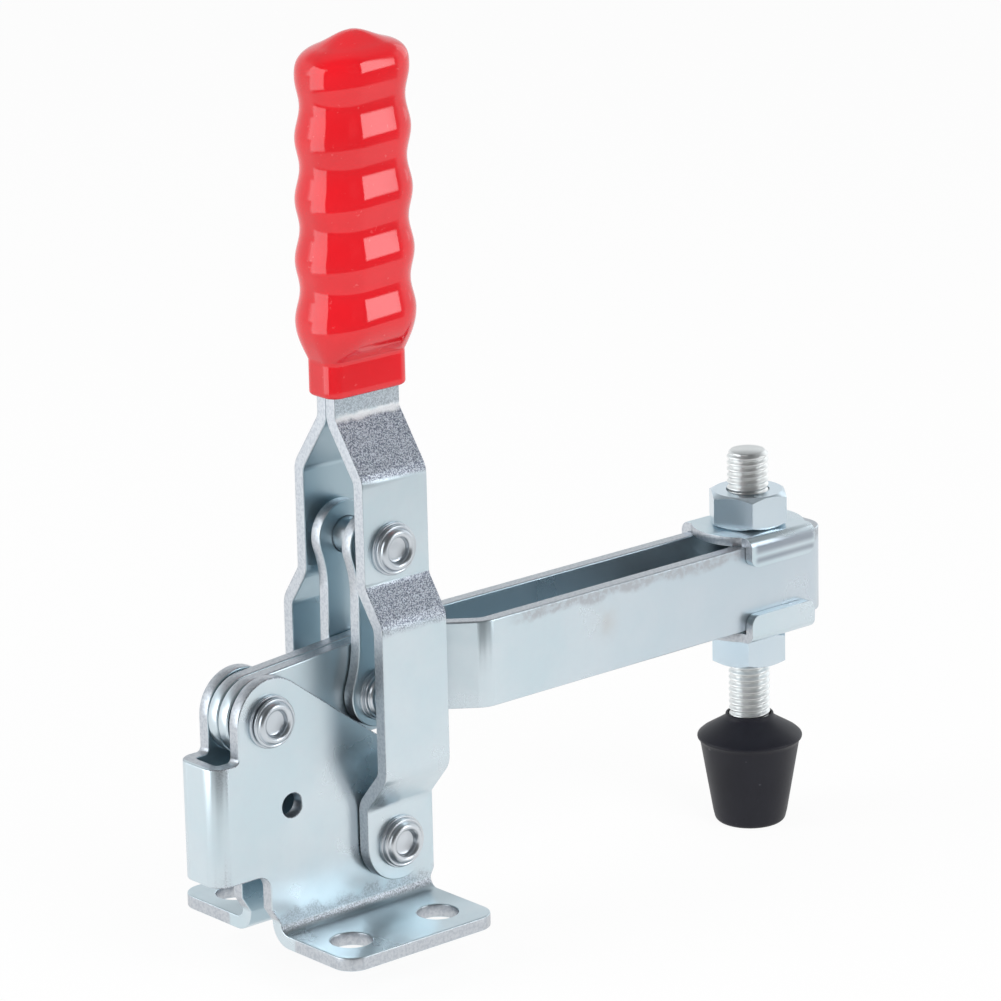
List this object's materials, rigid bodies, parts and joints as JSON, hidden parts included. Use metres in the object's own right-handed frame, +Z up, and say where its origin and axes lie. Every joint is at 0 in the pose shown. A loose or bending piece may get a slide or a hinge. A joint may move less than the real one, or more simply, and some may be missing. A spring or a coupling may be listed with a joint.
{
  "type": "toggle clamp",
  "caption": "Vertical-handle hold-down toggle clamp with a flanged base, slotted U arm, toggle links, red grip and a rubber-tipped spindle.",
  "frame": {"origin": "middle of the four base holes, on the underside of the base flanges", "axes": "+X forward along the arm to the spindle, +Y to the left, +Z up, along the closed handle"},
  "size_m": [0.1807, 0.06, 0.2061],
  "materials": {
    "zinc_sheet": "bluish bright zinc plating on sheet steel, satin, with rough dark bends and sheared edges",
    "zinc_rivet": "zinc plated rivet, smooth, brighter than the sheet",
    "zinc_fastener": "bright zinc plating with a faint pink and blue tint",
    "grip_vinyl": "glossy red dipped vinyl",
    "cap_rubber": "matt black rubber"
  },
  "bodies": {
    "base": {"base_bracket": "zinc_sheet", "arm_pivot_rivet": "zinc_rivet", "arm_pivot_washer_left": "zinc_rivet", "arm_pivot_washer_right": "zinc_rivet", "handle_pivot_rivet": "zinc_rivet", "handle_pivot_washer_left": "zinc_rivet", "handle_pivot_washer_right": "zinc_rivet", "handle_pivot_spacer": "zinc_sheet"},
    "handle": {"handle_plate_left": "zinc_sheet", "handle_plate_right": "zinc_sheet", "handle_grip": "grip_vinyl", "toggle_rivet": "zinc_rivet", "toggle_washer_left": "zinc_rivet", "toggle_washer_right": "zinc_rivet"},
    "link": {"toggle_link_left": "zinc_sheet", "toggle_link_right": "zinc_sheet", "link_rivet_left": "zinc_rivet", "link_rivet_right": "zinc_rivet", "link_washer_left": "zinc_rivet", "link_washer_right": "zinc_rivet"},
    "arm": {"clamp_arm": "zinc_sheet", "link_pin": "zinc_rivet", "flanged_washer_top": "zinc_sheet", "flanged_washer_bottom": "zinc_sheet", "spindle_nut_upper": "zinc_fastener", "spindle_nut_lower": "zinc_fastener", "spindle": "zinc_fastener", "rubber_cap": "cap_rubber"}
  },
  "joints": [
    {"name": "handle_swing", "type": "hinge", "parent": "base", "child": "handle", "pos_m": [0.0103, 0, 0.0175], "axis": [0, -1, 0], "range_deg": [0, 57.25]},
    {"name": "arm_swing", "type": "hinge", "parent": "base", "child": "arm", "pos_m": [-0.022, 0, 0.0521], "axis": [0, -1, 0], "range_deg": [0, 105]},
    {"name": "link_swing", "type": "hinge", "parent": "handle", "child": "link", "pos_m": [0.0092, 0, 0.0852], "axis": [0, -1, 0], "range_deg": [0, 91.6]}
  ],
  "couplings": [
    {"joint": "arm_swing", "follows": "handle_swing", "ratio": 1.8337},
    {"joint": "link_swing", "follows": "handle_swing", "ratio": 1.5981}
  ]
}
